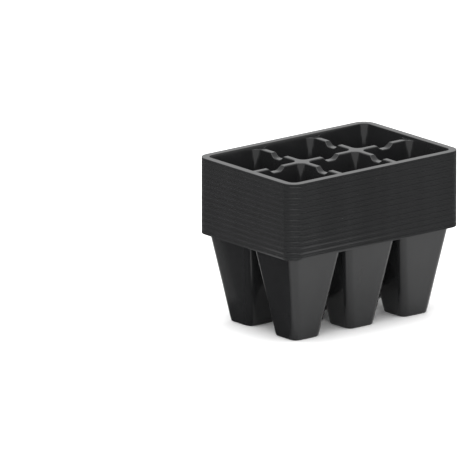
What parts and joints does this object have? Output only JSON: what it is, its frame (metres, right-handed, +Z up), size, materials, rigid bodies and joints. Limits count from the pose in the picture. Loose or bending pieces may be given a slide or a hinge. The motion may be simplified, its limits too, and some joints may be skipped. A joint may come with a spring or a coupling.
{
  "type": "plug tray stack",
  "caption": "Nested stack of black plastic plug trays with deep tapered cells, drain holes and notched dividers. Each tray lifts off the one below.",
  "frame": {"origin": "on the surface the bottom tray's feet stand on, under the middle of the stack", "axes": "+X along the long side of the trays, +Y across them, +Z up, the way a tray lifts off"},
  "size_m": [0.254, 0.1732, 0.1945],
  "materials": {
    "black_plastic": "satin black moulded polypropylene with a fine texture"
  },
  "bodies": {
    "tray_01": {"tray_01": "black_plastic"},
    "tray_02": {"tray_02": "black_plastic"},
    "tray_03": {"tray_03": "black_plastic"},
    "tray_04": {"tray_04": "black_plastic"},
    "tray_05": {"tray_05": "black_plastic"},
    "tray_06": {"tray_06": "black_plastic"},
    "tray_07": {"tray_07": "black_plastic"},
    "tray_08": {"tray_08": "black_plastic"},
    "tray_09": {"tray_09": "black_plastic"},
    "tray_10": {"tray_10": "black_plastic"},
    "tray_11": {"tray_11": "black_plastic"},
    "tray_12": {"tray_12": "black_plastic"},
    "tray_13": {"tray_13": "black_plastic"},
    "tray_14": {"tray_14": "black_plastic"}
  },
  "joints": [
    {"name": "lift_tray_02", "type": "slide", "parent": "tray_01", "child": "tray_02", "axis": [0, 0, 1], "range_m": [0, 0.11]},
    {"name": "lift_tray_03", "type": "slide", "parent": "tray_02", "child": "tray_03", "axis": [0, 0, 1], "range_m": [0, 0.11]},
    {"name": "lift_tray_04", "type": "slide", "parent": "tray_03", "child": "tray_04", "axis": [0, 0, 1], "range_m": [0, 0.11]},
    {"name": "lift_tray_05", "type": "slide", "parent": "tray_04", "child": "tray_05", "axis": [0, 0, 1], "range_m": [0, 0.11]},
    {"name": "lift_tray_06", "type": "slide", "parent": "tray_05", "child": "tray_06", "axis": [0, 0, 1], "range_m": [0, 0.11]},
    {"name": "lift_tray_07", "type": "slide", "parent": "tray_06", "child": "tray_07", "axis": [0, 0, 1], "range_m": [0, 0.11]},
    {"name": "lift_tray_08", "type": "slide", "parent": "tray_07", "child": "tray_08", "axis": [0, 0, 1], "range_m": [0, 0.11]},
    {"name": "lift_tray_09", "type": "slide", "parent": "tray_08", "child": "tray_09", "axis": [0, 0, 1], "range_m": [0, 0.11]},
    {"name": "lift_tray_10", "type": "slide", "parent": "tray_09", "child": "tray_10", "axis": [0, 0, 1], "range_m": [0, 0.11]},
    {"name": "lift_tray_11", "type": "slide", "parent": "tray_10", "child": "tray_11", "axis": [0, 0, 1], "range_m": [0, 0.11]},
    {"name": "lift_tray_12", "type": "slide", "parent": "tray_11", "child": "tray_12", "axis": [0, 0, 1], "range_m": [0, 0.11]},
    {"name": "lift_tray_13", "type": "slide", "parent": "tray_12", "child": "tray_13", "axis": [0, 0, 1], "range_m": [0, 0.11]},
    {"name": "lift_tray_14", "type": "slide", "parent": "tray_13", "child": "tray_14", "axis": [0, 0, 1], "range_m": [0, 0.11]}
  ]
}
